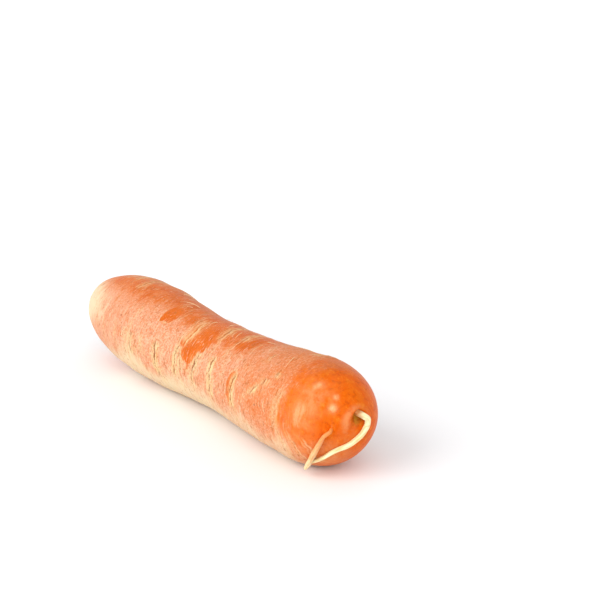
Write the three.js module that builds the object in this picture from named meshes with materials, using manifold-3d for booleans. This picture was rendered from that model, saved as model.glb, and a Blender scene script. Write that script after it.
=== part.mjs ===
// One blunt, almost cylindrical carrot, trimmed of its leaves and lying on its side.
// It grew as one piece, so the root, its thin tail, the side rootlet and the cut leaf stalks are one solid.
// Millimetres, +Z up. The root runs along X with its crown at -X and its tip at +X, and rests on z = 0.
import * as THREE from "three";
import { mergeVertices } from "three/addons/utils/BufferGeometryUtils.js";
import Module from "manifold-3d";

// Driving dimensions. A share is a share of the root's length, counted from the crown.
// Round the root, angle 0 is the +Y side, 90 degrees the top and 180 the -Y side.
const rootLength = 175;
const crownRadius = 20; // where the taper starts, before the shoulder rounds it off
const tipRadius = 17.8; // where the taper ends, before the dome rounds it off
const waist = { depth: 3.7, at: 0.565, width: 0.28 };
const shoulder = { share: 0.4, start: 2.3, end: 2.3 }; // start and end are the powers of the curve there
const dome = { share: 0.157, start: 2.6, end: 2 };
const tipRise = { height: 4.3, aside: 0.4, power: 2.5 }; // the tip grew above the root's middle line
const sink = 0.4; // makes the two flats that it rests on
const belly = { lift: 1.2, bow: 0.7, at: 0.575, width: 0.145 };
const unevenness = { share: 0.008, lobes: 3, turns: 2 };
const leafScar = { depth: 5.4, flatRadius: 3, rimRadius: 10.5, reach: 0.1 };
const tipPit = { depth: 1.1, radius: 2.3 };

// What is left of the leaf stalks stands in rings in the scar, each stub thinner outwards than it is wide
const stubs = { sunk: 1.6, tall: 3.2, lean: 14, thinness: 0.55, sides: 8 };
const stubRings = [
  { count: 7, ring: 4.4, radius: 1.5, turn: 12 },
  { count: 4, ring: 2.1, radius: 1.1, turn: 50 },
  { count: 1, ring: 0, radius: 0.9, turn: 0 },
];

// Tail and rootlet: the points that each follows over the dome, and its radius at the base and at the end
const tail = {
  baseRadius: 0.95,
  endRadius: 0.55,
  steps: 26,
  points: [
    [83, -0.3, 22], [86.9, -0.1, 21.9], [88.4, 1.2, 21.1], [88.5, 2.7, 19.7], [88.1, 2.8, 17.9],
    [87.8, 2.1, 16.2], [87.5, 0.8, 14.5], [86.9, -1, 13], [86.4, -3.2, 12], [85.4, -5.4, 11.1],
    [84, -7.3, 9.8], [82.1, -8.4, 8.2], [79.8, -9.3, 6.6], [77, -9.9, 5.3],
  ],
};
const rootlet = {
  baseRadius: 0.72,
  endRadius: 0.6,
  steps: 18,
  points: [
    [82, -5.8, 18.2], [85.5, -8.6, 17.3], [84.3, -10.1, 15.6], [83.3, -10.8, 13.4], [82.1, -11.2, 11.2],
    [80.4, -11.3, 8.7], [78.4, -10.9, 6.2], [75.6, -9.9, 3.6], [73.8, -9.3, 2],
  ],
};
const shootSides = 8;

// Creases: old scars of side roots, short slits across the root that lie in four rows along it
const creaseRow = 170;
const creaseWidth = 0.6;
const creaseBow = 0.7; // how far its middle lies nearer to the crown than its ends do
const lipShare = 0.35; // share of the depth that stands proud beside the slit
const seenCreases = [
  { at: 0.34, angle: 176, halfSpan: 16, depth: 0.25 },
  { at: 0.436, angle: 179, halfSpan: 25, depth: 0.4 },
  { at: 0.51, angle: 169, halfSpan: 24, depth: 0.45 },
  { at: 0.52, angle: 122, halfSpan: 29, depth: 0.35 },
  { at: 0.577, angle: 175, halfSpan: 24, depth: 0.32 },
  { at: 0.643, angle: 168, halfSpan: 30, depth: 0.42 },
  { at: 0.735, angle: 169, halfSpan: 24, depth: 0.55 },
  { at: 0.89, angle: 167, halfSpan: 24, depth: 0.35 },
  { at: 0.941, angle: 165, halfSpan: 16, depth: 0.35 },
];
const girdles = { count: 11, from: 0.1, to: 0.93, jitter: 0.02, both: 0.6, wander: 15 };
const hiddenSize = { halfSpan: [14, 34], depth: [0.22, 0.47] };

// Mesh of the root's skin
const around = 36;
const shoulderRings = 20;
const middleRings = 14;
const domeRings = 12;
const ringGap = 0.9; // between the middle of a crease and the rings of points on both sides of it
const closestRings = 0.4;

const degree = Math.PI / 180;
const bump = (at, middle, width) => Math.exp(-(((at - middle) / width) ** 2));
const smooth = (x) => THREE.MathUtils.smoothstep(x, 0, 1);

// A repeatable draw between 0 and 1
function seededDraw(seed) {
  let state = seed;
  return () => {
    state = (state * 16807) % 2147483647;
    return state / 2147483647;
  };
}

// One or two creases at each girdle, in the three rows that are out of sight from the -Y side
function hiddenCreases() {
  const draw = seededDraw(41);
  const found = [];
  for (let i = 0; i < girdles.count; i++) {
    const even = girdles.from + ((girdles.to - girdles.from) * i) / (girdles.count - 1);
    const at = even + (draw() - 0.5) * 2 * girdles.jitter;
    const first = Math.floor(draw() * 3);
    const count = draw() < girdles.both ? 2 : 1;
    for (let j = 0; j < count; j++) {
      const row = creaseRow + 90 * (1 + ((first + j) % 3));
      const angle = row + (draw() - 0.5) * 2 * girdles.wander;
      const halfSpan = THREE.MathUtils.lerp(...hiddenSize.halfSpan, draw());
      const depth = THREE.MathUtils.lerp(...hiddenSize.depth, draw());
      found.push({ at, angle, halfSpan, depth });
    }
  }
  return found;
}
const creases = [...seenCreases, ...hiddenCreases()];

// How far the skin is sunk at a place: each crease is a bell-shaped slit with a lower, raised bell beside it
function creaseDepth(share, angle) {
  let depth = 0;
  for (const crease of creases) {
    const along = ((share - crease.at) * rootLength) / creaseWidth;
    if (Math.abs(along) > 4) continue;
    const halfTurn = THREE.MathUtils.euclideanModulo(angle / degree - crease.angle + 180, 360);
    const turned = Math.abs(halfTurn - 180);
    const fade = 1 - smooth((turned / crease.halfSpan - 0.6) / 0.4);
    depth += crease.depth * fade * (bump(along, 0, 1) - lipShare * bump(along, 1.5, 1));
  }
  return depth;
}

// Rounding of an end: it falls from 1 where the end starts to 0 at its pole
function endRounding(share, { share: reach, start, end }) {
  if (share >= reach) return 1;
  return Math.max(1 - (1 - share / reach) ** start, 0) ** (1 / end);
}

// Place on the skin for a share of the length and an angle round the root
function skinPoint(ringShare, angle) {
  const nearMiddle = 1 - (2 * ringShare - 1) ** 8;
  const bow = (creaseBow / rootLength) * Math.cos(4 * (angle - creaseRow * degree));
  const share = ringShare - bow * nearMiddle;
  const taper = THREE.MathUtils.lerp(crownRadius, tipRadius, share);
  const girth = taper - waist.depth * bump(share, waist.at, waist.width);
  const tipCap = endRounding(1 - share, dome);
  const cap = endRounding(share, shoulder) * tipCap;
  const upper = (1 + Math.sin(angle)) / 2;
  const lobes = Math.cos(unevenness.lobes * angle + unevenness.turns * 2 * Math.PI * share) * upper;
  const radius = cap * (girth * (1 + unevenness.share * lobes) - creaseDepth(ringShare, angle));
  const bend = bump(share, belly.at, belly.width);
  const rise = (1 - tipCap) ** tipRise.power;
  const towardRim = (radius - leafScar.flatRadius) / (leafScar.rimRadius - leafScar.flatRadius);
  const scar = share < leafScar.reach ? 1 - smooth(towardRim) : 0;
  const pit = share > 0.5 ? bump(radius, 0, tipPit.radius) : 0;
  const x = (share - 0.5) * rootLength + leafScar.depth * scar - tipPit.depth * pit;
  const y = belly.bow * bend + tipRise.aside * rise + radius * Math.cos(angle);
  const z = girth - sink + belly.lift * bend + tipRise.height * rise + radius * Math.sin(angle);
  return [x, y, z];
}

// Shares of the length where the skin has a ring of points: round both ends, between them, at each crease
function ringShares() {
  const quarter = (i, count) => Math.cos((i * Math.PI) / 2 / count);
  const along = (i, count, { share, start }) => share * (1 - quarter(i, count) ** (2 / start));
  const found = [];
  for (let i = 1; i <= shoulderRings; i++) found.push(along(i, shoulderRings, shoulder));
  for (let i = 1; i < middleRings; i++)
    found.push(THREE.MathUtils.lerp(shoulder.share, 1 - dome.share, i / middleRings));
  for (let i = 1; i <= domeRings; i++) found.push(1 - along(i, domeRings, dome));
  const gap = ringGap / rootLength;
  const atCreases = [...new Set(creases.map((crease) => crease.at))];
  const clear = found.filter((share) => atCreases.every((at) => Math.abs(at - share) > gap));
  return [...clear, ...atCreases.flatMap((at) => [at - gap, at, at + gap])]
    .sort((a, b) => a - b)
    .filter((share, i, all) => i === 0 || share - all[i - 1] > closestRings / rootLength);
}

const wasm = await Module();
wasm.setup();

// A solid from a geometry: what meets is merged and triangles without area are dropped
function solidFrom(geometry) {
  const bare = geometry.clone();
  bare.deleteAttribute("normal");
  bare.deleteAttribute("uv");
  const merged = mergeVertices(bare, 1e-4);
  const corners = merged.index.array;
  const kept = [];
  for (let i = 0; i < corners.length; i += 3) {
    const [a, b, c] = corners.subarray(i, i + 3);
    if (a !== b && b !== c && c !== a) kept.push(a, b, c);
  }
  const vertProperties = merged.attributes.position.array;
  return new wasm.Manifold(new wasm.Mesh({ numProp: 3, vertProperties, triVerts: new Uint32Array(kept) }));
}

// The skin: a lathe of radius 1, whose height is the share of the length, carried onto the root
function rootBody() {
  const profile = [new THREE.Vector2(0, 0)];
  for (const share of ringShares()) profile.push(new THREE.Vector2(1, share));
  profile.push(new THREE.Vector2(0, 1));
  const lathe = new THREE.LatheGeometry(profile, around);
  const place = lathe.attributes.position;
  for (let i = 0; i < place.count; i++) {
    const angle = Math.atan2(place.getX(i), place.getZ(i));
    place.setXYZ(i, ...skinPoint(place.getY(i), angle));
  }
  return lathe;
}

// A round shoot, thinner towards its end: a lathe whose height counts the steps along a smooth curve
function shoot({ points, baseRadius, endRadius, steps }) {
  const passed = points.map((point) => new THREE.Vector3(...point));
  const curve = new THREE.CatmullRomCurve3(passed, false, "centripetal");
  const frames = curve.computeFrenetFrames(steps, false);
  const profile = [new THREE.Vector2(0, 0)];
  for (let i = 0; i <= steps; i++) {
    const radius = THREE.MathUtils.lerp(baseRadius, endRadius, i / steps);
    profile.push(new THREE.Vector2(i < steps ? radius : radius / 2, i));
  }
  profile.push(new THREE.Vector2(0, steps));
  const lathe = new THREE.LatheGeometry(profile, shootSides);
  const place = lathe.attributes.position;
  for (let i = 0; i < place.count; i++) {
    const step = Math.round(place.getY(i));
    const centre = curve.getPointAt(step / steps);
    centre.addScaledVector(frames.normals[step], place.getX(i));
    centre.addScaledVector(frames.binormals[step], -place.getZ(i));
    place.setXYZ(i, centre.x, centre.y, centre.z);
  }
  return lathe;
}

// The cut stubs of the leaf stalks, each leaning away from the middle of the scar
function leafStubs() {
  const scarFloor = skinPoint(0, 0);
  const height = stubs.sunk + stubs.tall;
  const made = [];
  for (const { count, ring, radius, turn } of stubRings) {
    for (let i = 0; i < count; i++) {
      const stub = new THREE.CylinderGeometry(radius * 0.85, radius, height, stubs.sides);
      stub.scale(stubs.thinness, 1, 1).translate(0, height / 2 - stubs.sunk, 0);
      if (ring > 0) stub.rotateZ(-stubs.lean * degree);
      stub.translate(ring, 0, 0).rotateY((turn + (360 * i) / count) * degree);
      made.push(stub.rotateZ(90 * degree).translate(...scarFloor));
    }
  }
  return made;
}

let carrot = solidFrom(rootBody());
for (const grown of [...leafStubs(), shoot(tail), shoot(rootlet)]) carrot = carrot.add(solidFrom(grown));
const belowSurface = new THREE.BoxGeometry(2 * rootLength, rootLength, 20).translate(0, 0, -10);
carrot = carrot.subtract(solidFrom(belowSurface));

const { vertProperties, triVerts } = carrot.getMesh();
const geometry = new THREE.BufferGeometry();
geometry.setAttribute("position", new THREE.BufferAttribute(vertProperties, 3));
geometry.setIndex(new THREE.BufferAttribute(triVerts, 1));
geometry.computeVertexNormals();
geometry.computeBoundingBox();

const skin = new THREE.MeshStandardMaterial({ color: 0xf08a4b, roughness: 0.62, metalness: 0 });
const mesh = new THREE.Mesh(geometry, skin);
mesh.name = "carrot";
const part = new THREE.Group();
part.add(mesh);

// The frame's origin is under the middle of the part's box, on the surface that it lies on
const middle = geometry.boundingBox.getCenter(new THREE.Vector3());
mesh.position.set(-middle.x, -middle.y, 0);

export default part;
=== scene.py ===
import math

import bpy
import numpy as np
from mathutils import Matrix, Vector


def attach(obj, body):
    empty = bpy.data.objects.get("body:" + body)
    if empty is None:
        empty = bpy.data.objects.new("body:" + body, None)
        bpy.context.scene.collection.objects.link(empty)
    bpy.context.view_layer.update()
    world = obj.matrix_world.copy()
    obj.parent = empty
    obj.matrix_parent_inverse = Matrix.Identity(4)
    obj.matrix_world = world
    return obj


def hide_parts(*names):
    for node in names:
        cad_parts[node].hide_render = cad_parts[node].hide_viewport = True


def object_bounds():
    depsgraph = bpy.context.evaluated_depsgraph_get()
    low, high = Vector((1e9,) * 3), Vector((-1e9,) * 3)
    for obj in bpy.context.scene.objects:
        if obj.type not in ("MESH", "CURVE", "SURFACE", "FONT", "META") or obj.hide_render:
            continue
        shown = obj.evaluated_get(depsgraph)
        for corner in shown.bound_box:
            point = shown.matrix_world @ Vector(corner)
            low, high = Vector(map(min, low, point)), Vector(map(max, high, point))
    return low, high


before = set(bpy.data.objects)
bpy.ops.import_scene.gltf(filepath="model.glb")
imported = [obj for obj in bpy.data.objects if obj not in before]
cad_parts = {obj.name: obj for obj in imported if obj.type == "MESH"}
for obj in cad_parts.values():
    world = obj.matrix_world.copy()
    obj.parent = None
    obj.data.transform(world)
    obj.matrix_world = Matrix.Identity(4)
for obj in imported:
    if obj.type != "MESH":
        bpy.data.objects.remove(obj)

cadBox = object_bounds()
mm = 0.001


def listOf(names, *rows):
    # one dictionary for each row, with its values under these names
    return [dict(zip(names.split(), row)) for row in rows]


root = {
    "length": 175,
    "crownRadius": 20,
    "tipRadius": 17.8,
    "waist": {"depth": 3.7, "at": 0.565, "width": 0.28},
    "shoulder": {"share": 0.4, "start": 2.3, "end": 2.3},
    "dome": {"share": 0.157, "start": 2.6, "end": 2},
    "tipRise": {"height": 4.3, "aside": 0.4, "power": 2.5},
    "sink": 0.4,
    "belly": {"lift": 1.2, "bow": 0.7, "at": 0.575, "width": 0.145},
    "unevenness": {"share": 0.008, "lobes": 3, "turns": 2},
    "leafScar": {"depth": 5.4, "flatRadius": 3, "rimRadius": 10.5, "reach": 0.1},
    "scarKnobs": {"height": 0.3, "count": 9, "radius": 6, "width": 2},
    "tipPit": {"depth": 1.1, "radius": 2.3},
    "pitCollar": {"height": 0.3, "uneven": 0.5, "radius": 3.4, "width": 0.9},
    "shoulderRows": 250,
    "middleRows": 255,
    "domeRows": 100,
    "columns": 160,
}

# Heights of the lumps, wrinkles and grain all over the skin
skinRelief = {"lumps": 0.13, "wrinkles": 0.022, "grain": 0.012}

# Creases stand in four rows, a quarter turn apart. Widths are half widths of a slit, in millimetres. LipAt is
# how many widths off the lips lie, and fullLook how deep a slit is that looks its darkest.
creaseLook = {
    "row": 170,  # the middle of the row that the camera sees
    "width": 0.5,
    "bow": 0.7,  # how far the middle of a crease lies nearer to the crown than its ends do
    "lipShare": 0.45,
    "lipAt": 1.6,
    "fullLook": 0.35,
    "wander": 0.3,
}
hiddenLook = {
    "girdles": 11,
    "along": (0.1, 0.93),
    "jitter": 0.02,
    "both": 0.6,  # how many of the girdles have two creases
    "aside": 15,
    "halfSpan": (14, 34),
    "depth": (0.22, 0.47),
    "dark": 0.55,
    "scar": 0.4,
}

# Fine scratches across the skin, besides the creases
threadLook = {
    "count": 150,
    "along": (0.16, 0.86),
    "aside": 45,
    "halfSpan": (4, 15),
    "depth": (0.03, 0.1),
    "width": (0.25, 0.4),
    "slant": 0.04,
}

# Slant is in millimetres along the root for each degree round it. Dark is how much painted shade darkens
# the slit, and scar how much of the skin round it is scarred. Strength is for all its colours, which else go
# by its depth.
seenCreases = [
    {"at": 0.34, "angle": 176, "halfSpan": 16, "depth": 0.25},
    {"at": 0.436, "angle": 179, "halfSpan": 25, "depth": 0.4, "slant": 0.025},
    {"at": 0.51, "angle": 169, "halfSpan": 24, "depth": 0.45},
    {"at": 0.52, "angle": 122, "halfSpan": 29, "depth": 0.25, "slant": 0.02, "dark": 0.2},
    {"at": 0.577, "angle": 175, "halfSpan": 24, "depth": 0.32, "slant": -0.02},
    {"at": 0.643, "angle": 168, "halfSpan": 30, "depth": 0.42, "slant": 0.06},
    {"at": 0.735, "angle": 169, "halfSpan": 24, "depth": 0.55, "slant": 0.02},
    {"at": 0.89, "angle": 167, "halfSpan": 26, "depth": 0.1},
    {"at": 0.941, "angle": 165, "halfSpan": 17, "depth": 0.09},
    {"at": 0.314, "angle": 176, "halfSpan": 18, "depth": 0.12, "width": 0.35},
    {"at": 0.378, "angle": 171, "halfSpan": 14, "depth": 0.14, "width": 0.35, "slant": 0.04},
    {"at": 0.529, "angle": 168, "halfSpan": 15, "depth": 0.2, "width": 0.4, "slant": 0.1},
    {"at": 0.586, "angle": 159, "halfSpan": 15, "depth": 0.2, "width": 0.4, "slant": 0.06},
    {"at": 0.808, "angle": 157, "halfSpan": 8, "depth": 0.3, "width": 0.5, "slant": -0.17},
    {"at": 0.829, "angle": 145, "halfSpan": 5, "depth": 0.2, "width": 0.6},
    {"at": 0.851, "angle": 133, "halfSpan": 5, "depth": 0.18, "width": 0.5, "slant": 0.12},
]

# Long fine lines that sweep on round the root above and below the creases
fineLine = {"depth": 0.08, "width": 0.32, "strength": 0.6, "dark": 0.25, "scar": 0}
longLines = listOf(
    "at angle halfSpan slant",
    (0.501, 144, 66, 0.01),
    (0.325, 182, 40, -0.02),
    (0.444, 190, 42, 0.02),
    (0.525, 196, 36, 0.04),
    (0.569, 186, 46, -0.02),
    (0.637, 184, 48, 0.02),
    (0.61, 118, 34, 0.03),
    (0.66, 112, 36, -0.01),
    (0.742, 182, 40, 0.03),
    (0.9, 204, 28, 0.03),
    (0.925, 206, 24, 0.05),
    (0.95, 218, 30, 0.02),
)

degree = math.pi / 180


def seededDraw(seed):
    # a repeatable draw between 0 and 1
    state = seed

    def draw():
        nonlocal state
        state = state * 16807 % 2147483647
        return state / 2147483647

    return draw


def between(low, high, share):
    return low + (high - low) * share


def bell(at, middle, width):
    return np.exp(-(((at - middle) / width) ** 2))


def smooth(x):
    # rises from 0 to 1 with level ends
    x = np.clip(x, 0, 1)
    return x * x * (3 - 2 * x)


def turnedFrom(angle, middle):
    # signed turn in degrees from a middle angle, between -180 and 180
    return (angle / degree - middle + 180) % 360 - 180


def ripple(share, angle, seed, alongRange, aroundMost, count=14):
    # waves that close round the root: a sum of cos(cycles along + whole cycles around + phase), about -1 to 1
    draw = seededDraw(seed)
    total = 0
    for _ in range(count):
        along = between(*alongRange, draw()) * (1 if draw() < 0.5 else -1)
        around = math.floor(draw() * (aroundMost + 1))
        total = total + np.cos(2 * math.pi * (along * share + draw()) + around * angle)
    return total / math.sqrt(count)


def creaseRow(number):
    # the middle angle of a row of creases; row 0 is the one that the camera sees
    return creaseLook["row"] + 90 * number


def hiddenCreases():
    # one or two creases at each girdle, in the three rows that are out of sight from the -Y side
    look = hiddenLook
    draw = seededDraw(41)
    found = []
    for i in range(look["girdles"]):
        even = between(*look["along"], i / (look["girdles"] - 1))
        at = even + (draw() - 0.5) * 2 * look["jitter"]
        first = math.floor(draw() * 3)
        for j in range(2 if draw() < look["both"] else 1):
            found.append({
                "at": at,
                "angle": creaseRow(1 + (first + j) % 3) + (draw() - 0.5) * 2 * look["aside"],
                "halfSpan": between(*look["halfSpan"], draw()),
                "depth": between(*look["depth"], draw()),
                "dark": look["dark"],
                "scar": look["scar"],
            })
    return found


def threads():
    # fine scratches across the skin, most of them near a row of creases
    look = threadLook
    draw = seededDraw(97)
    found = []
    for _ in range(look["count"]):
        row = creaseRow(math.floor(draw() * 4))
        found.append({
            "at": between(*look["along"], draw()),
            "angle": row + (draw() + draw() - 1) * look["aside"],
            "halfSpan": between(*look["halfSpan"], draw() ** 1.5),
            "depth": between(*look["depth"], draw()),
            "width": between(*look["width"], draw()),
            "slant": (draw() - 0.5) * 2 * look["slant"],
        })
    return found


creases = seenCreases + hiddenCreases() + [{**line, **fineLine} for line in longLines]
scratches = threads()


def slits(share, angle, lines):
    # bells across each line, which wanders on two sine waves and fades at its ends: how deep the skin sinks,
    # the dark slit itself, which is painted shade in the crease, its pale lips and the scarred skin round it
    look = creaseLook
    depth = np.zeros_like(share)
    scarred = np.zeros_like(share)
    dark = np.zeros_like(share)
    pale = np.zeros_like(share)
    for line in lines:
        turned = turnedFrom(angle, line["angle"])
        start = 50 * line["at"]  # each line wanders in its own way
        wander = look["wander"] * (np.sin(0.21 * turned + start) + 0.6 * np.sin(0.55 * turned + 2 * start))
        along = (share - line["at"]) * root["length"] - line.get("slant", 0) * turned - wander
        along = along / line.get("width", look["width"])
        fade = 1 - smooth((np.abs(turned) / line["halfSpan"] - 0.6) / 0.4)
        near = np.clip(4 - np.abs(along), 0, 1) * fade
        strength = line.get("strength", min(line["depth"] / look["fullLook"], 1))
        lip = bell(along, look["lipAt"], 1)
        depth += line["depth"] * near * (bell(along, 0, 1) - look["lipShare"] * lip)
        # the dark slit is painted shade in the crease
        dark = np.maximum(dark, line.get("dark", 1) * strength * near * bell(along, 0, 0.9))
        lips = np.maximum(lip, 0.6 * bell(along, -1.5, 0.8))
        pale = np.maximum(pale, strength * near * lips)
        scarred = np.maximum(scarred, line.get("scar", 1) * strength * fade * bell(along, 1, 5))
    return depth, dark, pale, scarred


def endRounding(share, end):
    # falls from 1 where the end starts to 0 at its pole
    inside = np.clip(1 - share / end["share"], 0, 1)
    return np.maximum(1 - inside ** end["start"], 0) ** (1 / end["end"])


def fineRelief(share, angle):
    # sums of ripples, in millimetres outwards: soft lumps, patches of wrinkles across the root, and a grain
    lumps = skinRelief["lumps"] * ripple(share, angle, 11, (3, 12), 4)
    patchy = 0.6 + 0.4 * ripple(share, angle, 13, (2, 6), 2)
    wrinkles = skinRelief["wrinkles"] * patchy * ripple(share, angle, 12, (60, 150), 3)
    grain = skinRelief["grain"] * ripple(share, angle, 14, (60, 200), 40)
    return lumps + wrinkles + grain


def skinPoints(ringShare, angle, fine=True):
    # rings of the girth's radius, rounded off at both ends, round a middle line that bends; creases sink in,
    # and the rings bow towards the crown at the middle of each row of creases
    nearMiddle = 1 - (2 * ringShare - 1) ** 8
    bow = creaseLook["bow"] / root["length"] * np.cos(4 * (angle - creaseLook["row"] * degree))
    share = ringShare - bow * nearMiddle
    waist = root["waist"]
    girth = between(root["crownRadius"], root["tipRadius"], share)
    girth = girth - waist["depth"] * bell(share, waist["at"], waist["width"])
    tipCap = endRounding(1 - share, root["dome"])
    cap = endRounding(share, root["shoulder"]) * tipCap
    uneven = root["unevenness"]
    upper = (1 + np.sin(angle)) / 2
    lobes = np.cos(uneven["lobes"] * angle + uneven["turns"] * 2 * math.pi * share) * upper
    outward = girth * uneven["share"] * lobes
    if fine:
        outward = outward + fineRelief(share, angle) * upper ** 0.3 - slits(ringShare, angle, creases)[0]
        outward = outward - slits(ringShare, angle, scratches)[0]
    radius = cap * (girth + outward)
    belly = root["belly"]
    bend = bell(share, belly["at"], belly["width"])
    rise = (1 - tipCap) ** root["tipRise"]["power"]
    scar = root["leafScar"]
    inScar = 1 - smooth((radius - scar["flatRadius"]) / (scar["rimRadius"] - scar["flatRadius"]))
    inScar = np.where(share < scar["reach"], inScar, 0)
    pit = np.where(share > 0.5, bell(radius, 0, root["tipPit"]["radius"]), 0)
    x = (share - 0.5) * root["length"] + scar["depth"] * inScar - root["tipPit"]["depth"] * pit
    if fine:
        # knobbly floor of the scar between the stalks, and a low collar round the pit
        knobs = root["scarKnobs"]
        wave = knobs["height"] * np.cos(knobs["count"] * angle + 2)
        x = x + inScar * wave * bell(radius, knobs["radius"], knobs["width"])
        collar = root["pitCollar"]
        wave = collar["height"] * (1 + collar["uneven"] * np.cos(2 * angle + 1))
        x = x + np.where(share > 0.5, wave * bell(radius, collar["radius"], collar["width"]), 0)
    y = belly["bow"] * bend + root["tipRise"]["aside"] * rise + radius * np.cos(angle)
    middle = girth - root["sink"] + belly["lift"] * bend + root["tipRise"]["height"] * rise
    z = middle + radius * np.sin(angle)
    return np.stack([x, y, np.maximum(z, 0)], axis=-1), radius


def skinGrid():
    # rows lie evenly over both ends, where equal steps of share would leave wide gaps, and between them
    def evenly(rows, end):
        quarter = np.cos(np.arange(1, rows + 1) / rows * math.pi / 2)
        return end["share"] * (1 - quarter ** (2 / end["start"]))

    fromCrown = evenly(root["shoulderRows"], root["shoulder"])
    fromTip = 1 - evenly(root["domeRows"], root["dome"])[::-1]
    middle = np.linspace(fromCrown[-1], fromTip[0], root["middleRows"] + 1)[1:-1]
    share = np.concatenate([fromCrown, middle, fromTip])
    angle = np.linspace(0, 2 * math.pi, root["columns"], endpoint=False)
    return np.meshgrid(share, angle, indexing="ij")


# Meshes


def closedShell(rings, start, end):
    # rings of points joined by quads, and closed at both ends by a fan to one point; rings turn about the way
    # they run
    rows, columns = rings.shape[:2]
    points = np.concatenate([rings.reshape(-1, 3), [start], [end]])
    row, column = np.meshgrid(np.arange(rows - 1), np.arange(columns), indexing="ij")
    here = row * columns + column
    beside = row * columns + (column + 1) % columns
    quads = np.stack([here, beside, beside + columns, here + columns], axis=-1).reshape(-1, 4)
    first = np.arange(columns)
    following = (first + 1) % columns
    last = (rows - 1) * columns
    startFan = np.stack([np.full(columns, rows * columns), following, first], axis=-1)
    endFan = np.stack([np.full(columns, rows * columns + 1), last + first, last + following], axis=-1)
    return points, quads, np.concatenate([startFan, endFan])


def joinShells(shells):
    # several closed shells in one list of points and faces
    offsets = np.cumsum([0] + [len(shell[0]) for shell in shells[:-1]])
    points = np.concatenate([shell[0] for shell in shells])
    quads = np.concatenate([shell[1] + offset for shell, offset in zip(shells, offsets)])
    fans = np.concatenate([shell[2] + offset for shell, offset in zip(shells, offsets)])
    return points, quads, fans


def makePiece(name, shell, material, attributes):
    # a smooth mesh in metres that rides on the root body and stands for part of the carrot's node
    points, quads, fans = shell
    mesh = bpy.data.meshes.new(name)
    mesh.from_pydata(((points - boxMiddle) * mm).tolist(), [], quads.tolist() + fans.tolist())
    mesh.shade_smooth()
    for label, values in attributes.items():
        kind = "FLOAT" if values.ndim == 1 else "FLOAT_VECTOR"
        layer = mesh.attributes.new(label, kind, "POINT")
        layer.data.foreach_set("value" if values.ndim == 1 else "vector", values.astype(np.float32).ravel())
    mesh.materials.append(material)
    piece = bpy.data.objects.new(name, mesh)
    bpy.context.scene.collection.objects.link(piece)
    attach(piece, "root")
    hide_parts("carrot")
    print(name, "has", len(points), "points")


def pathThrough(points, count):
    # a centripetal Catmull-Rom curve through the points, sampled at even distances
    points = np.array(points, float)
    points = np.concatenate([[2 * points[0] - points[1]], points, [2 * points[-1] - points[-2]]])
    knots = np.concatenate([[0], np.cumsum(np.sqrt(np.linalg.norm(np.diff(points, axis=0), axis=1)))])
    t = np.linspace(knots[1], knots[-2], 40 * len(points))
    i = np.clip(np.searchsorted(knots, t, side="right") - 1, 1, len(points) - 3)

    def blend(a, b, low, high):
        share = ((t - knots[low]) / (knots[high] - knots[low]))[:, None]
        return a * (1 - share) + b * share

    a1 = blend(points[i - 1], points[i], i - 1, i)
    a2 = blend(points[i], points[i + 1], i, i + 1)
    a3 = blend(points[i + 1], points[i + 2], i + 1, i + 2)
    b1 = blend(a1, a2, i - 1, i + 1)
    b2 = blend(a2, a3, i, i + 2)
    curve = blend(b1, b2, i, i + 1)
    walked = np.concatenate([[0], np.cumsum(np.linalg.norm(np.diff(curve, axis=0), axis=1))])
    even = np.linspace(0, walked[-1], count)
    return np.stack([np.interp(even, walked, curve[:, k]) for k in range(3)], axis=-1), walked[-1]


def tube(path, radius, sides):
    # rings square to a path; radius is a function of the share of the way and the angle round the tube
    ahead = np.gradient(path, axis=0)
    ahead /= np.linalg.norm(ahead, axis=1, keepdims=True)
    side = np.cross(ahead, [0.3, 0.2, 0.93])
    side /= np.linalg.norm(side, axis=1, keepdims=True)
    lift = np.cross(side, ahead)
    turns = np.arange(sides) / sides * 2 * math.pi
    way, turn = np.meshgrid(np.linspace(0, 1, len(path)), turns, indexing="ij")
    reach = radius(way, turn)
    out = np.cos(turn)[..., None] * side[:, None] - np.sin(turn)[..., None] * lift[:, None]
    rings = path[:, None] + reach[..., None] * out
    return closedShell(rings, path[0], path[-1]), way, turn


# Materials


def tint(red, green, blue):
    # a colour as picked on screen, 0 to 255, turned into linear light
    picked = np.array([red, green, blue]) / 255
    light = np.where(picked <= 0.04045, picked / 12.92, ((picked + 0.055) / 1.055) ** 2.4)
    return (*(float(v) for v in light), 1.0)


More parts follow.
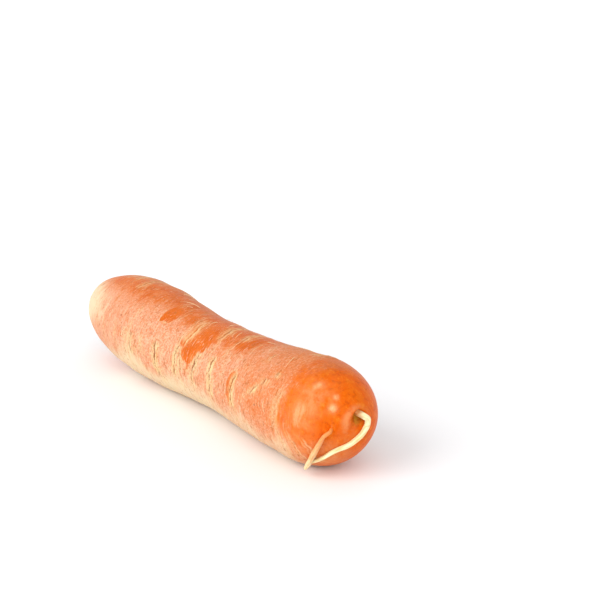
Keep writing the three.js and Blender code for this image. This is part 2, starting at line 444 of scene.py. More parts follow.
class Nodes:
    # short names for the nodes that a material is made of; each gives back the socket that it ends in
    def __init__(self, name):
        self.material = bpy.data.materials.new(name)
        self.material.use_nodes = True
        self.tree = self.material.node_tree
        self.shader = self.tree.nodes["Principled BSDF"]
        self.place = self.tree.nodes.new("ShaderNodeTexCoord").outputs["Object"]

    def feed(self, socket, value):
        if isinstance(value, bpy.types.NodeSocket):
            self.tree.links.new(value, socket)
        else:
            socket.default_value = value

    def feedAll(self, node, values):
        # an underscore in a name stands for a space
        for name, value in values.items():
            self.feed(node.inputs[name.replace("_", " ")], value)

    def node(self, kind, **values):
        node = self.tree.nodes.new("ShaderNode" + kind)
        self.feedAll(node, values)
        return node

    def attribute(self, name, output="Fac"):
        node = self.node("Attribute")
        node.attribute_name = name
        return node.outputs[output]

    def stretch(self, vector, scale):
        return self.node("Mapping", Vector=vector, Scale=scale).outputs["Vector"]

    def noise(self, vector, size, detail=3, roughness=0.55, distortion=0):
        # size is the width of a feature in millimetres
        node = self.node("TexNoise", Vector=vector, Scale=1 / (size * mm), Detail=detail,
                         Roughness=roughness, Distortion=distortion)
        return node.outputs["Fac"]

    def cells(self, vector, size):
        node = self.node("TexVoronoi", Vector=vector, Scale=1 / (size * mm))
        return node.outputs["Distance"], node.outputs["Color"]

    def calculate(self, operation, a, b, clamp=False):
        node = self.node("Math")
        node.operation = operation
        node.use_clamp = clamp
        self.feed(node.inputs[0], a)
        self.feed(node.inputs[1], b)
        return node.outputs[0]

    def plus(self, a, b):
        return self.calculate("ADD", a, b)

    def minus(self, a, b, clamp=False):
        return self.calculate("SUBTRACT", a, b, clamp)

    def times(self, a, b, clamp=False):
        return self.calculate("MULTIPLY", a, b, clamp)

    def larger(self, a, b):
        return self.calculate("MAXIMUM", a, b)

    def rest(self, share):
        return self.minus(1.0, share)

    def swing(self, pattern, size):
        # a pattern that runs from 0 to 1, moved to swing evenly to both sides of 0
        return self.times(self.minus(pattern, 0.5), size)

    def ramp(self, value, low, high, toLow=0.0, toHigh=1.0):
        # a soft step from one value to another; it falls where low is above high
        node = self.node("MapRange", Value=value, From_Min=low, From_Max=high, To_Min=toLow, To_Max=toHigh)
        node.interpolation_type = "SMOOTHSTEP"
        return node.outputs["Result"]

    def mix(self, share, a, b):
        node = self.node("Mix")
        node.data_type = "RGBA"
        self.feed(node.inputs[0], share)
        self.feed(node.inputs[6], a)
        self.feed(node.inputs[7], b)
        return node.outputs[2]

    def bump(self, height, depth):
        # depth is the height of the relief in millimetres
        return self.node("Bump", Height=height, Distance=depth * mm).outputs["Normal"]

    def finish(self, **values):
        self.feedAll(self.shader, values)
        return self.material


skinLook = {
    "flesh": tint(200, 90, 14),
    "fleshLight": tint(210, 102, 28),
    "bloom": tint(206, 136, 100),
    "bloomPale": tint(220, 170, 140),
    "dust": tint(228, 186, 152),
    "bloomWarm": tint(208, 118, 66),
    "ripe": tint(216, 90, 0),
    "ripeLight": tint(218, 106, 8),
    "ripeDeep": tint(190, 72, 4),
    "ripeGlow": tint(228, 128, 34),
    "haze": tint(216, 130, 76),
    "cream": tint(220, 198, 162),
    "pale": tint(226, 198, 146),
    "dark": tint(112, 58, 22),
    "fleck": tint(166, 90, 40),
    "brown": tint(160, 80, 14),
    "greenish": tint(178, 116, 34),
    "bloomRoughness": 0.62,
    "fleshRoughness": 0.38,
    "relief": 0.26,
}

# How wide a feature of each pattern is, in millimetres
skinPatterns = {
    "broad": 14,
    "cloudy": 5,
    "blotch": 2.4,
    "speck": 0.75,
    "fibre": 0.8,
    "mottle": 1.7,
    "rings": 0.9,
    "mist": 3.2,
    "lines": 0.5,
    "streaks": 1.1,
    "scars": 1.3,
    "freckles": 0.9,
    "pits": 0.6,
    "dots": 5,
    "healing": 1.6,
    "ripples": 1.2,
}


def skinMaterial():
    # noises of many sizes, mixed by the attributes that paintSkin works out
    look = skinLook
    size = skinPatterns
    n = Nodes("carrotSkin")
    across = n.stretch(n.place, (1, 0.16, 0.16))  # patterns drawn out round the root
    lengthwise = n.stretch(n.place, (0.25, 1, 1))
    broad = n.noise(n.place, size["broad"], detail=4)
    cloudy = n.noise(n.place, size["cloudy"], detail=5, roughness=0.6)
    blotched = n.stretch(n.place, (1, 0.5, 0.5))
    blotch = n.noise(blotched, size["blotch"], detail=4, roughness=0.65, distortion=0.6)
    speck = n.noise(n.place, size["speck"], detail=2, roughness=0.75)
    fibre = n.noise(across, size["fibre"], detail=4, roughness=0.6)

    # the dry bloom ends in uneven edges, where it is brightest; thin bloom breaks up into islands
    cloudPart = n.swing(cloudy, 0.8)
    blotchPart = n.swing(blotch, 1.1)
    fibrePart = n.swing(fibre, 0.5)
    field = n.plus(n.plus(n.attribute("bloom"), cloudPart), n.plus(blotchPart, fibrePart))
    softness = n.ramp(n.attribute("worn"), 0.05, 0.6, 0.12, 0.36)
    dusted = n.ramp(field, n.times(softness, -1.0), softness)
    edge = n.times(n.ramp(field, -0.02, 0.08), n.ramp(field, 0.24, 0.1))
    edge = n.times(edge, n.ramp(softness, 0.36, 0.12))
    flesh = n.mix(n.ramp(cloudy, 0.35, 0.65), look["flesh"], look["fleshLight"])
    flesh = n.mix(n.ramp(speck, 0.55, 0.7, 0, 0.35), flesh, look["haze"])
    bloomColour = n.mix(n.ramp(blotch, 0.3, 0.75), look["bloom"], look["bloomPale"])
    warmShare = n.times(n.attribute("warm"), n.ramp(broad, 0.25, 0.7, 0.55, 1.0))
    bloomColour = n.mix(warmShare, bloomColour, look["bloomWarm"])
    bloomColour = n.mix(n.ramp(broad, 0.5, 0.75, 0, 0.15), bloomColour, look["fleshLight"])
    grain = n.attribute("grainy")
    dusty = n.times(n.ramp(speck, 0.5, 0.64, 0, 0.6), grain)
    bare = n.times(n.ramp(speck, 0.5, 0.36, 0, 0.5), grain)
    bloomColour = n.mix(dusty, bloomColour, look["dust"])
    bloomColour = n.mix(bare, bloomColour, look["fleshLight"])
    skin = n.mix(dusted, flesh, bloomColour)
    skin = n.mix(n.times(edge, 0.35), skin, look["pale"])

    # the tip is ripe, wet looking flesh with clouds of haze in it
    ripeField = n.plus(n.attribute("ripe"), n.times(n.plus(cloudPart, blotchPart), 0.8))
    ripeShare = n.ramp(ripeField, 0.1, 0.75)
    ripeColour = n.mix(n.ramp(blotch, 0.45, 0.75), look["ripe"], look["ripeLight"])
    ripeColour = n.mix(n.ramp(ripeField, 1.0, 0.6, 0, 0.6), ripeColour, look["fleshLight"])
    mottle = n.noise(n.place, size["mottle"], detail=5, roughness=0.7)
    rings = n.noise(across, size["rings"], detail=3, roughness=0.6)
    ripeColour = n.mix(n.ramp(mottle, 0.47, 0.35, 0, 0.75), ripeColour, look["ripeDeep"])
    ripeColour = n.mix(n.ramp(mottle, 0.53, 0.66, 0, 0.6), ripeColour, look["ripeGlow"])
    ripeColour = n.mix(n.ramp(rings, 0.56, 0.66, 0, 0.4), ripeColour, look["ripeDeep"])
    skin = n.mix(ripeShare, skin, ripeColour)
    mist = n.noise(n.place, size["mist"], detail=5, roughness=0.65, distortion=0.2)
    # haze, with painted bounce light under the tip
    hazeShare = n.times(n.attribute("haze"), n.ramp(mist, 0.25, 0.68, 0.1, 1.25), clamp=True)
    skin = n.mix(hazeShare, skin, look["haze"])

    # cream streaked round the root; along the underside it is painted bounce light
    creamNoise = n.plus(n.times(blotchPart, 0.5), n.times(fibrePart, 1.6))
    creamShare = n.ramp(n.plus(n.attribute("cream"), n.times(creamNoise, 0.9)), 0.1, 0.95)
    skin = n.mix(creamShare, skin, look["cream"])

    # fine pale lines and flesh coloured streaks across the root
    lines = n.ramp(n.noise(across, size["lines"], detail=2, roughness=0.7), 0.58, 0.68, 0, 0.55)
    covered = n.larger(ripeShare, n.times(dusted, 0.5))
    lines = n.times(lines, n.rest(covered))
    skin = n.mix(lines, skin, look["dust"])
    streaks = n.ramp(n.noise(across, size["streaks"], detail=4, roughness=0.75), 0.44, 0.34, 0, 0.5)
    streaked = n.minus(dusted, n.times(creamShare, 0.6), clamp=True)
    streaks = n.times(streaks, streaked)
    skin = n.mix(streaks, skin, look["fleshLight"])

    # the scars and lips of the creases, flecks and pits in the skin, then painted shade: the dark slits
    # themselves and the tip's darker upper edge
    scars = n.ramp(n.noise(across, size["scars"], detail=4, roughness=0.7), 0.42, 0.62, 0, 0.85)
    skin = n.mix(n.times(n.attribute("scarred"), scars), skin, look["pale"])
    skin = n.mix(n.times(n.attribute("pale"), n.ramp(speck, 0.3, 0.6, 0.5, 1.0)), skin, look["pale"])
    freckled = n.noise(n.stretch(n.place, (1, 0.4, 0.4)), size["freckles"], detail=2, roughness=0.6)
    flecks = n.times(n.ramp(freckled, 0.6, 0.68, 0, 0.55), n.rest(ripeShare))
    skin = n.mix(flecks, skin, look["fleck"])
    pitted = n.noise(n.stretch(n.place, (1, 0.6, 0.6)), size["pits"], detail=3, roughness=0.8)
    plain = n.times(grain, n.rest(n.larger(ripeShare, creamShare)))
    skin = n.mix(n.times(n.ramp(pitted, 0.45, 0.37, 0, 0.6), plain), skin, look["fleck"])
    # painted shade: the dark slits and the tip's darker upper edge
    skin = n.mix(n.times(n.attribute("dark"), n.ramp(speck, 0.4, 0.62, 1.0, 0.35)), skin, look["dark"])

    # a few small dark dots, and brown where the crown was cut and in the pit
    dotDistance, dotColour = n.cells(n.place, size["dots"])
    dots = n.times(n.ramp(dotDistance, 0.1, 0.05), n.ramp(dotColour, 0.62, 0.7))
    dots = n.times(dots, n.minus(0.6, n.times(ripeShare, 0.5)))
    skin = n.mix(dots, skin, look["dark"])
    scarColour = n.mix(n.ramp(n.noise(n.place, size["healing"]), 0.4, 0.6), look["brown"], look["greenish"])
    brownShare = n.ramp(n.plus(n.attribute("brown"), n.swing(speck, 0.6)), 0.15, 0.6)
    skin = n.mix(brownShare, skin, scarColour)

    wet = n.larger(ripeShare, n.rest(dusted))
    roughness = n.ramp(wet, 0, 1, look["bloomRoughness"], look["fleshRoughness"])
    ripples = n.plus(n.times(fibre, 0.6), n.times(speck, 0.8))
    dryRipples = n.times(ripples, n.rest(n.times(ripeShare, 0.6)))
    relief = n.plus(dryRipples, n.times(n.noise(lengthwise, size["ripples"], detail=2), 0.3))
    return n.finish(
        Base_Color=skin,
        Roughness=roughness,
        Normal=n.bump(relief, look["relief"]),
        Subsurface_Weight=0.12,
        Subsurface_Radius=(1.0, 0.35, 0.12),
        Subsurface_Scale=0.003,
        Specular_IOR_Level=0.08,
        Specular_Tint=(1.0, 0.6, 0.25, 1.0),
    )


shootLook = {
    "base": tint(172, 100, 32),
    "cream": tint(244, 232, 184),
    "shade": tint(226, 196, 134),
    "flesh": tint(220, 120, 32),
}


def shootMaterial(name, fleshUntil, baseUntil):
    # pale and fibrous; it starts in the colour of what it grows from, brown in the pit or orange on the skin;
    # the brown base is partly stem colour and partly painted shade where it leaves the pit
    look = shootLook
    n = Nodes(name)
    grain = n.attribute("grain", "Vector")
    fibre = n.noise(n.stretch(grain, (0.15, 1, 1)), 0.5, detail=3)
    colour = n.mix(n.ramp(fibre, 0.35, 0.7), look["cream"], look["shade"])
    ragged = n.plus(n.attribute("way"), n.swing(n.noise(n.place, 2.5), 0.12))
    colour = n.mix(n.ramp(ragged, fleshUntil, 0.0), colour, look["flesh"])
    # brown base: stem colour and painted shade where the tail leaves the pit
    colour = n.mix(n.ramp(ragged, baseUntil, 0.6 * baseUntil), colour, look["base"])
    return n.finish(
        Base_Color=colour,
        Roughness=0.5,
        Normal=n.bump(fibre, 0.1),
        Subsurface_Weight=0.15,
        Subsurface_Radius=(1.0, 0.6, 0.3),
        Subsurface_Scale=0.002,
    )


stalkLook = {
    "side": tint(166, 150, 82),
    "sideDry": tint(196, 164, 104),
    "cut": tint(150, 108, 62),
}


def stalkMaterial():
    # dry leaf stalks: olive and straw coloured along their fibres, brown where they were cut
    look = stalkLook
    n = Nodes("driedStalk")
    fibre = n.noise(n.stretch(n.place, (0.12, 1, 1)), 0.45, detail=3)
    colour = n.mix(n.ramp(fibre, 0.4, 0.62), look["side"], look["sideDry"])
    cut = n.ramp(n.plus(n.attribute("way"), n.times(fibre, 0.3)), 0.85, 1.1)
    colour = n.mix(cut, colour, look["cut"])
    return n.finish(Base_Color=colour, Roughness=0.75, Normal=n.bump(fibre, 0.15))


def towards(azimuth, elevation):
    # a level direction to the right of the way to a place, and the way to it, from two angles in degrees;
    # azimuth 0 is the -Y side
    azimuth = azimuth * degree
    elevation = elevation * degree
    right = Vector((math.cos(azimuth), math.sin(azimuth), 0))
    away = Vector((math.cos(elevation) * math.sin(azimuth), -math.cos(elevation) * math.cos(azimuth),
                   math.sin(elevation)))
    return right, away


# The camera stands where the photographed view was taken from
camera = {
    "azimuth": 55.76,
    "elevation": 13.99,
    "distance": 400.2,
    "lens": 66.93,
    "sensor": 36,
    "right": 32.25,  # the middle of the view lies this far to the right of the root's middle, and this far up
    "up": 36.65,
}


def makeCamera():
    right, back = towards(camera["azimuth"], camera["elevation"])
    up = back.cross(right)
    place = camera["right"] * right + camera["up"] * up + camera["distance"] * back
    lensData = bpy.data.cameras.new("camera")
    lensData.lens = camera["lens"]
    lensData.sensor_width = camera["sensor"]
    seen = bpy.data.objects.new("camera", lensData)
    turned = Matrix((right, up, back)).transposed().to_4x4()
    seen.matrix_world = Matrix.Translation((place - Vector(boxMiddle)) * mm) @ turned
    bpy.context.scene.collection.objects.link(seen)
    bpy.context.scene.camera = seen


# Skin


# Patches of clean flesh where the bloom is rubbed off: length is along the root, span round it, both as half
# sizes. Slant is how many millimetres nearer the tip the patch lies for each degree round it.
patches = listOf(
    "at angle length span slant",
    (0.549, 118, 7.6, 36, 0.02),
    (0.548, 145, 5.2, 22, 0.07),
    (0.59, 104, 12, 22, 0.0),
    (0.695, 106, 4.8, 17, -0.1),
    (0.42, 108, 4.5, 24, -0.05),
    (0.466, 95, 12, 17, 0.0),
    (0.728, 167, 2.4, 22, 0.03),
    (0.61, 90, 16, 22, 0.0),
)

hiddenPatchLook = {
    "count": 16,
    "along": (0.12, 0.84),
    "angle": (235, 440),
    "length": (1.5, 6.5),
    "span": (14, 36),
    "slant": 0.15,
    "ragged": 0.45,
}

# The bloom's thickness, the most of it that can be worn off, and how fast it starts beside a patch
bloomLook = {"thickness": 0.62, "mostWorn": 0.86, "start": 1.2}

# Where the bloom is worn thin: strength is how much of it is gone in the middle
wornAreas = listOf(
    "at angle length span strength",
    (0.275, 106, 16, 32, 0.66),
    (0.15, 106, 12, 16, 0.58),
    (0.4, 82, 24, 26, 0.72),
    (0.49, 96, 14, 26, 0.7),
    (0.605, 98, 20, 32, 0.9),
    (0.7, 90, 13, 28, 0.6),
    (0.84, 172, 15, 22, 0.49),
    (0.77, 130, 9, 16, 0.35),
    (0.88, 95, 7, 30, 0.4),
    (0.2, 262, 14, 24, 0.35),
    (0.35, 330, 22, 34, 0.5),
    (0.6, 20, 20, 30, 0.5),
    (0.75, 320, 16, 30, 0.45),
    (0.2, 40, 16, 26, 0.45),
)

# Where the tip turns ripe, as shares
ripeTip = {
    "from": 0.893,
    "wave": 0.004,
    "lower": 0.04,  # how much further on it starts along its lower side
    "lowerSide": (176, 275),
    "deepAfter": 0.055,
    "deepOver": 0.04,
}

# Clouds of haze on the tip, the one at 238 degrees under the tip being painted bounce light from the floor,
# and a ring of haze round the pit, which is thickest at one angle
hazeCloudsAndBounce = listOf(
    "at angle length span strength",
    (0.95, 140, 4.375, 30, 1.0),
    (0.925, 205, 5.25, 22, 0.75),
    (0.955, 175, 2.8, 22, 0.6),
    # painted bounce light from the floor under the tip
    (0.97, 238, 5.25, 36, 0.85),
    (0.91, 78, 3.5, 14, 0.45),
)
pitRing = {"radius": 4.3, "width": 1.3, "angle": 170, "strength": 0.9}

# Painted shade darkens the upper edge of the tip
shadedTipEdge = {"at": 0.915, "angle": 84, "length": 4.375, "span": 24, "strength": 0.2}

# Cream reaches further from the crown on the front. Along the underside it is painted bounce light from the
# floor over paler bloom, and it thins out twice
crownCream = {"until": 0.02, "front": 0.16, "angle": 158, "span": 42, "fade": 0.2, "strength": 0.92}
undersideBounceCream = {"from": 0.12, "thinner": 0.55, "gone": 0.885, "strength": 0.8}

# Pale arcs on the tip, and pale spots that are partly scars and partly painted highlights
tipArcs = listOf(
    "at angle halfSpan strength",
    (0.887, 166, 30, 0.28),
    (0.939, 164, 18, 0.28),
)
tipScarsAndHighlights = listOf(
    "at angle size strength",
    (0.981, 139, 1.15, 0.75),
    (0.975, 119, 0.8, 0.55),
    (0.944, 121, 0.9, 0.5),
    (0.941, 126, 0.7, 0.4),
)


def hiddenPatches():
    # patches on the back, which the photo doesn't show
    look = hiddenPatchLook
    draw = seededDraw(63)
    found = []
    for _ in range(look["count"]):
        found.append({
            "at": between(*look["along"], draw()),
            "angle": between(*look["angle"], draw()),
            "length": between(*look["length"], draw()),
            "span": between(*look["span"], draw()),
            "slant": (draw() - 0.5) * 2 * look["slant"],
            "ragged": look["ragged"],
        })
    return found


def cloud(share, angle, area):
    # a soft bell round a place on the skin: strength * bell along the root * bell round it
    along = bell((share - area["at"]) * root["length"], 0, area["length"])
    return area["strength"] * along * bell(turnedFrom(angle, area["angle"]), 0, area["span"])


def paintSkin(share, angle, radius, points):
    # what the material reads at each point; every value is a sum or the largest of soft bells and ramps
    length = root["length"]
    inside = np.full_like(share, -1.0)
    uneven = ripple(share, angle, 31, (6, 22), 11, 24)
    for patch in patches + hiddenPatches():
        turned = turnedFrom(angle, patch["angle"])
        along = ((share - patch["at"]) * length - patch["slant"] * turned) / patch["length"]
        away = np.sqrt(along ** 2 + (turned / patch["span"]) ** 2)
        ragged = np.maximum(1 + patch.get("ragged", 0.1) * uneven, 0.65)
        inside = np.maximum(inside, 1 - away * ragged)
    worn = np.clip(sum(cloud(share, angle, area) for area in wornAreas), 0, bloomLook["mostWorn"])
    bloom = np.clip(-inside * bloomLook["start"], -1, bloomLook["thickness"] - worn)

    # the ripe tip starts further on along its lower side, and deepens in two steps
    lowerStart, lowerEnd = ripeTip["lowerSide"]
    lower = smooth(turnedFrom(angle, lowerStart) / 32) * (1 - smooth(turnedFrom(angle, lowerEnd) / 25))
    ripeFrom = ripeTip["from"] + ripeTip["lower"] * lower
    ripeFrom = ripeFrom + ripeTip["wave"] * ripple(share, angle, 21, (1, 3), 5)
    deepFrom = ripeFrom + ripeTip["deepAfter"]
    ripe = 0.6 * smooth((share - ripeFrom) * length / 6 + 0.5)
    ripe = ripe + 0.5 * smooth((share - deepFrom) / ripeTip["deepOver"] + 0.5)

    # haze in clouds, one of them painted bounce light under the tip, and in a ring round the pit
    haze = 0.05 * smooth((share - 0.86) / 0.05)
    for area in hazeCloudsAndBounce:
        haze = np.maximum(haze, cloud(share, angle, area))
    thick = 0.55 + 0.45 * np.cos(angle - pitRing["angle"] * degree)
    ring = pitRing["strength"] * bell(radius, pitRing["radius"], pitRing["width"]) * thick
    haze = np.where(share > 0.9, np.maximum(haze, ring), haze)

    # cream at the crown's end, widest on the front, and painted bounce light over paler bloom along the
    # underside
    front = bell(turnedFrom(angle, crownCream["angle"]), 0, crownCream["span"])
    creamUntil = crownCream["until"] + crownCream["front"] * front
    cream = crownCream["strength"] * smooth((creamUntil - share) / crownCream["fade"] + 0.5)
    wavy = 6 * ripple(share, angle, 24, (3, 9), 2)
    # painted bounce light from the floor on the underside, over paler bloom
    bounceBelow = bell(turnedFrom(angle, 214) + wavy, 0, 26) + 0.7 * bell(turnedFrom(angle, 255), 0, 30)
    bounceBelow = np.minimum(bounceBelow, 1) * smooth((share - undersideBounceCream["from"]) / 0.15)
    bounceBelow = bounceBelow * (1 - 0.25 * smooth((share - undersideBounceCream["thinner"]) / 0.2))
    bounceBelow = bounceBelow * (1 - 0.85 * smooth((share - undersideBounceCream["gone"]) / 0.06))
    cream = np.maximum(cream, undersideBounceCream["strength"] * bounceBelow)

    # the creases' dark slits, painted shade that fades on the ripe tip, their pale lips, and the tip's arcs
    # and spots
    _, dark, pale, scarred = slits(share, angle, creases)
    _, fineDark, finePale, _ = slits(share, angle, scratches)
    dark = np.maximum(dark, 0.5 * fineDark) * (1 - 0.75 * ripe)
    # painted shade on the upper edge of the tip
    dark = np.maximum(dark, cloud(share, angle, shadedTipEdge))
    pale = np.maximum(pale, 1.8 * finePale)
    for arc in tipArcs:
        fade = 1 - smooth((np.abs(turnedFrom(angle, arc["angle"])) / arc["halfSpan"] - 0.3) / 0.7)
        pale = np.maximum(pale, arc["strength"] * fade * bell((share - arc["at"]) * length, 0, 1))
    # the spots are partly pale scars and partly painted highlights
    for spot in tipScarsAndHighlights:
        middle, _ = skinPoints(np.array([[spot["at"]]]), np.array([[spot["angle"] * degree]]), fine=False)
        away = np.linalg.norm(points - middle[0, 0], axis=-1)
        pale = np.maximum(pale, spot["strength"] * bell(away, 0, spot["size"]))

    # brown in the pit and in the crown's dish
    brown = np.where(share > 0.9, 0.8 * bell(radius, 0, root["tipPit"]["radius"]), 0)
    brown = np.where(share < root["leafScar"]["reach"], 1 - smooth((radius - 5.5) / 4.5), brown)

    # the bloom is warmer near the tip and where it is worn, and there its grain is weaker
    warm = smooth((share - 0.6) / 0.25) * (0.8 + 0.2 * np.sin(angle)) * (1 - 0.3 * lower)
    warm = np.maximum(warm, np.minimum(1.6 * worn, 1))
    grainy = (1 - 0.45 * warm) * (0.5 + 0.5 * smooth((share - 0.15) / 0.3))
    return {"bloom": bloom, "worn": worn, "ripe": ripe, "haze": haze, "warm": warm, "cream": cream,
            "pale": pale, "scarred": scarred, "dark": dark, "brown": brown, "grainy": grainy}


share, angle = skinGrid()
skin, skinRadius = skinPoints(share, angle)

tail = {
    "points": [
        (83, -0.3, 22), (86.9, -0.1, 21.9), (88.4, 1.2, 21.1), (88.5, 2.7, 19.7), (88.1, 2.8, 17.9),
        (87.8, 2.1, 16.2), (87.5, 0.8, 14.5), (86.9, -1, 13), (86.4, -3.2, 12), (85.4, -5.4, 11.1),
        (84, -7.3, 9.8), (82.1, -8.4, 8.2), (79.8, -9.3, 6.6), (77, -9.9, 5.3),
    ],
    "baseRadius": 1.0,
    "endRadius": 0.5,
    "ridges": 0.07,
    "knots": 0.05,
    "rounding": 0.015,  # how much of its length its rounded end takes
    "steps": 150,
    "sides": 20,
}
tailPath, tailLength = pathThrough(tail["points"], tail["steps"])

# The frame's origin is under the middle of the solid's box, so the shapes move by where that middle lies
boxHigh = np.array(cadBox[1]) / mm
tailThickness = between(tail["baseRadius"], tail["endRadius"], np.linspace(0, 1, tail["steps"]))
tailReach = (tailPath[:, 0] + tailThickness).max()
boxMiddle = np.array([tailReach - boxHigh[0], (skin[..., 1].max() + skin[..., 1].min()) / 2, 0.0])
print("box middle", boxMiddle)
makeCamera()

skinShell = closedShell(skin, skin[0].mean(axis=0), skin[-1].mean(axis=0))


def withPoles(values):
    # the values of a grid, and those of the two points that close its ends
    return np.concatenate([values.ravel(), [values[0].mean(), values[-1].mean()]])


painted = {label: withPoles(values) for label, values in paintSkin(share, angle, skinRadius, skin).items()}
makePiece("rootSkin", skinShell, skinMaterial(), painted)

# Tail and rootlet


rootlet = {
    "points": [
        (82, -5.8, 18.2), (85.5, -8.6, 17.3), (84.3, -10.1, 15.6), (83.3, -10.8, 13.4), (82.1, -11.2, 11.2),
        (80.4, -11.3, 8.7), (78.4, -10.9, 6.2), (75.6, -9.9, 3.6), (73.8, -9.3, 2),
    ],
    "baseRadius": 0.45,
    "middleRadius": 0.8,
    "endRadius": 0.55,
    "ridges": 0.06,
    "knots": 0.06,
    "rounding": 0.02,
    "steps": 110,
    "sides": 16,
}


def makeShoot(name, path, length, radius, sides, material):
    # a tube whose grain runs along it: the way along it, and its place round the middle, in metres
    shell, way, turn = tube(path, radius, sides)
    reach = radius(way, turn)
    grain = np.stack([way * length, reach * np.cos(turn), reach * np.sin(turn)], axis=-1) * mm
    ends = np.array([[0, 0, 0], [length * mm, 0, 0]])
    grain = np.concatenate([grain.reshape(-1, 3), ends])
    makePiece(name, shell, material, {"way": np.concatenate([way.ravel(), [0, 1]]), "grain": grain})


def roundedEnd(way, rounding):
    # 1 along the shoot, and falls off at its end as a quarter of a circle does
    return np.sqrt(np.clip((1 - way) / rounding, 0.04, 1))


def tailRadius(way, turn):
    # thins towards the end, with long ridges, soft knots and a rounded end
    thick = between(tail["baseRadius"], tail["endRadius"], way ** 1.3)
    ridges = tail["ridges"] * np.cos(5 * turn + 9 * way) + tail["knots"] * np.sin(31 * way + turn)
    return thick * (1 + ridges) * roundedEnd(way, tail["rounding"])


def rootletRadius(way, turn):
    # grows out of the skin as a low ridge, and is thickest past its middle
    thick = between(rootlet["baseRadius"], rootlet["middleRadius"], smooth(way / 0.55))
    thick = between(thick, rootlet["endRadius"], smooth((way - 0.8) / 0.2))
    ridges = rootlet["ridges"] * np.cos(4 * turn + 7 * way) + rootlet["knots"] * np.sin(23 * way + 2 * turn)
    return thick * (1 + ridges) * roundedEnd(way, rootlet["rounding"])


rootletPath, rootletLength = pathThrough(rootlet["points"], rootlet["steps"])
makeShoot("tail", tailPath, tailLength, tailRadius, tail["sides"], shootMaterial("tailSkin", 0.13, 0.205))
makeShoot("rootlet", rootletPath, rootletLength, rootletRadius, rootlet["sides"],
          shootMaterial("rootletSkin", 1.15, 0.02))

hairs = {
    "count": 16,
    "radius": 0.09,
    "length": (4, 11),
    "along": (0.3, 0.9),
    "aside": 22,
    "heading": 1.2,  # how far it may point away from straight round the root, and curl on its way, in radians
    "curl": 1.1,
    "sunk": 0.3,
    "lift": (0.15, 0.9),
    "steps": 16,
    "sides": 5,
}


def hairShells():
    # a hair starts in the skin on a row of creases and follows it, rising a little, with a slow wave
    draw = seededDraw(7)
    way = np.linspace(0, 1, hairs["steps"])
    shells = []
    for _ in range(hairs["count"]):
        row = creaseRow(math.floor(draw() * 4))
        startShare = between(*hairs["along"], draw())
        startAngle = (row + (draw() - 0.5) * 2 * hairs["aside"]) * degree
        length = between(*hairs["length"], draw())
        heading = (draw() - 0.5) * 2 * hairs["heading"]
        curl = (draw() - 0.5) * 2 * hairs["curl"]
        toward = heading + curl * way
        step = length / hairs["steps"]
        side = 1 if draw() < 0.5 else -1
        share = startShare + np.cumsum(np.sin(toward)) * step / root["length"]
        angle = startAngle + side * np.cumsum(np.cos(toward)) * step / root["tipRadius"]
        onSkin = skinPoints(share[None], angle[None], fine=False)[0][0]
        out = np.stack([0 * angle, np.cos(angle), np.sin(angle)], axis=-1)
        lift = (hairs["sunk"] + between(*hairs["lift"], draw())) * np.sin(way * 2.4) - hairs["sunk"]
        path = onSkin + out * lift[:, None]
        path[:, 2] = np.maximum(path[:, 2], hairs["radius"])
        shells.append(tube(path, lambda w, t: hairs["radius"] * (1.15 - w), hairs["sides"])[0])
    return shells


hairShell = joinShells(hairShells())
makePiece("fineHairs", hairShell, shootMaterial("hairSkin", 0.1, 0.01),
          {"way": np.full(len(hairShell[0]), 0.5), "grain": hairShell[0] * mm})

# Leaf stalks


stalks = {
    "sunk": 1.6,
    "tall": 3.2,
    "lean": 14,
    "uneven": 10,  # how much their lean differs, in degrees
    "curve": 0.12,
    "thinness": 0.5,
    "topShare": 0.84,
    "channel": 0.45,  # how deep the stalk is hollowed on its inner side, as a share of its half width
    "rim": 0.72,  # where the dip in the torn top starts
    "rows": 14,
    "sides": 28,
    "rings": [
        {"count": 7, "ring": 4.4, "radius": 1.5, "turn": 12},
        {"count": 4, "ring": 2.1, "radius": 1.1, "turn": 50},
        {"count": 1, "ring": 0, "radius": 0.9, "turn": 0},
    ],
}
scarFibres = {
    "count": 34,
    "ring": (1, 7.2),
    "sunk": 1.2,
    "tall": (1.4, 3.2),
    "lean": 0.6,
    "radius": (0.16, 0.3),
    "steps": 7,
    "sides": 6,
}


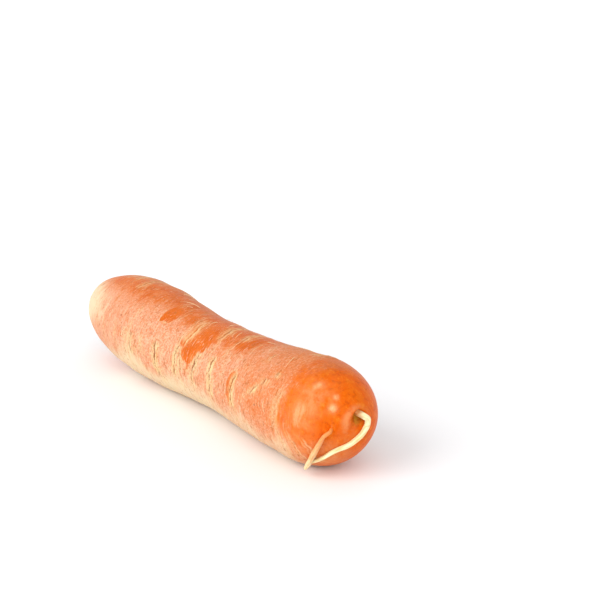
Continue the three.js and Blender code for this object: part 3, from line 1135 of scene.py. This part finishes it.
def stalkShell(ring, radius, angle, draw):
    # an ellipse bent into a channel, carried up a leaning line; its torn top is uneven and dips in the middle
    turns = np.arange(stalks["sides"]) / stalks["sides"] * 2 * math.pi
    height, turn = np.meshgrid(np.linspace(0, 1, stalks["rows"]), turns, indexing="ij")
    width = radius * between(1, stalks["topShare"], height) * (1 + 0.05 * np.cos(7 * turn))
    wide = -width * np.sin(turn)
    thin = width * stalks["thinness"] * np.cos(turn)
    if ring > 0:
        thin = thin - stalks["channel"] * radius * (np.sin(turn) ** 2 - 0.5)
    torn = 1 + 0.1 * np.cos(turn + 6 * draw()) + 0.06 * np.cos(4 * turn + 6 * draw()) + 0.2 * (draw() - 0.5)
    up = -stalks["sunk"] + (stalks["sunk"] + stalks["tall"] * torn) * height
    lean = (stalks["lean"] + (draw() - 0.5) * stalks["uneven"]) * degree if ring > 0 else 0
    outward = ring + thin * math.cos(lean) + up * math.sin(lean) + stalks["curve"] * np.maximum(up, 0) ** 2
    rise = up * math.cos(lean) - thin * math.sin(lean)
    y = outward * math.cos(angle) - wide * math.sin(angle)
    z = outward * math.sin(angle) + wide * math.cos(angle)
    rings = np.stack([-rise, y, z], axis=-1)
    top = rings[-1].mean(axis=0)
    inner = top + (rings[-1] - top) * stalks["rim"] + [0.12, 0, 0]
    rings = np.concatenate([rings, inner[None]])
    shell = closedShell(rings, rings[0].mean(axis=0), top + [0.3, 0, 0])
    way = np.concatenate([np.repeat(np.append(height[:, 0], 1.15), stalks["sides"]), [0, 1.2]])
    return shell, way


def fibreTube(scarFloor, draw):
    # a thin tube from under the floor of the scar, bent outwards and aside as the square of the way
    ring = between(*scarFibres["ring"], draw() ** 0.6)
    angle = draw() * 2 * math.pi
    rise = scarFibres["sunk"] + between(*scarFibres["tall"], draw())
    lean = [0, (draw() - 0.5) * 2 * scarFibres["lean"], (draw() - 0.5) * 2 * scarFibres["lean"]]
    outward = np.array([0, math.cos(angle), math.sin(angle)])
    foot = scarFloor + [scarFibres["sunk"], 0, 0] + ring * outward
    way = np.linspace(0, 1, scarFibres["steps"])[:, None]
    path = foot + way * np.array([-rise, 0, 0]) + way ** 2 * (lean + outward)
    thick = between(*scarFibres["radius"], draw())
    return tube(path, lambda w, t: thick * (1.1 - w), scarFibres["sides"])


def makeStalks():
    # rings of cut stalks round the middle of the scar, with fibres between them
    draw = seededDraw(29)
    scarFloor = skinPoints(np.zeros((1, 1)), np.zeros((1, 1)), fine=False)[0][0, 0]
    shells = []
    ways = []
    for group in stalks["rings"]:
        for i in range(group["count"]):
            # angles run from +Z, as the stubs of the solid do
            angle = math.pi / 2 - (group["turn"] + 360 * i / group["count"]) * degree
            shell, way = stalkShell(group["ring"], group["radius"], angle, draw)
            shells.append((shell[0] + scarFloor, shell[1], shell[2]))
            ways.append(way)
    for _ in range(scarFibres["count"]):
        shell, way, _ = fibreTube(scarFloor, draw)
        shells.append(shell)
        ways.append(np.concatenate([way.ravel(), [0, 1]]))
    makePiece("leafStalks", joinShells(shells), stalkMaterial(), {"way": np.concatenate(ways)})


makeStalks()

# Floor and lights


# Size and drop are in metres
floor = {
    "size": 40.0,
    "drop": 0.00005,
    "colour": (0.93, 0.925, 0.92, 1.0),
    "cloudColour": (0.9, 0.9, 0.9, 1.0),
    "cloud": 30,
}


def makeFloor():
    half = floor["size"] / 2
    corners = [(-half, -half), (half, -half), (half, half), (-half, half)]
    mesh = bpy.data.meshes.new("floor")
    mesh.from_pydata([(x, y, -floor["drop"]) for x, y in corners], [], [(0, 1, 2, 3)])
    n = Nodes("whiteTable")
    cloudy = n.ramp(n.noise(n.place, floor["cloud"]), 0.3, 0.7, 0, 0.02)
    shade = n.mix(cloudy, floor["colour"], floor["cloudColour"])
    mesh.materials.append(n.finish(Base_Color=shade, Roughness=0.6))
    table = bpy.data.objects.new("floor", mesh)
    bpy.context.scene.collection.objects.link(table)


# Azimuth and elevation are where a light stands, in degrees, as the camera's are; spread is its width as seen
lights = [
    {"name": "keyLight", "azimuth": 0, "elevation": 32, "spread": 45, "power": 1.7},
    {"name": "fillLight", "azimuth": 60, "elevation": 42, "spread": 60, "power": 0.75},
    {"name": "glintLight", "azimuth": 68, "elevation": 36, "spread": 12, "power": 0.15},
]
sky = {"horizon": (1.2, 1.19, 1.17, 1.0), "top": (0.5, 0.52, 0.56, 1.0)}


def makeLights():
    for light in lights:
        _, toLight = towards(light["azimuth"], light["elevation"])
        data = bpy.data.lights.new(light["name"], "SUN")
        data.angle = light["spread"] * degree
        data.energy = light["power"]
        lamp = bpy.data.objects.new(light["name"], data)
        lamp.matrix_world = Matrix.Translation(toLight) @ toLight.to_track_quat("Z", "Y").to_matrix().to_4x4()
        bpy.context.scene.collection.objects.link(lamp)
    # the sky is white round the horizon and dimmer overhead
    world = bpy.data.worlds.new("sky")
    world.use_nodes = True
    tree = world.node_tree
    heading = tree.nodes.new("ShaderNodeTexCoord")
    split = tree.nodes.new("ShaderNodeSeparateXYZ")
    blend = tree.nodes.new("ShaderNodeMix")
    blend.data_type = "RGBA"
    tree.links.new(heading.outputs["Generated"], split.inputs[0])
    tree.links.new(split.outputs["Z"], blend.inputs[0])
    blend.inputs[6].default_value = sky["horizon"]
    blend.inputs[7].default_value = sky["top"]
    tree.links.new(blend.outputs[2], tree.nodes["Background"].inputs["Color"])
    bpy.context.scene.world = world
    bpy.context.scene.view_settings.view_transform = "Standard"


makeFloor()
makeLights()
print("stage is set")
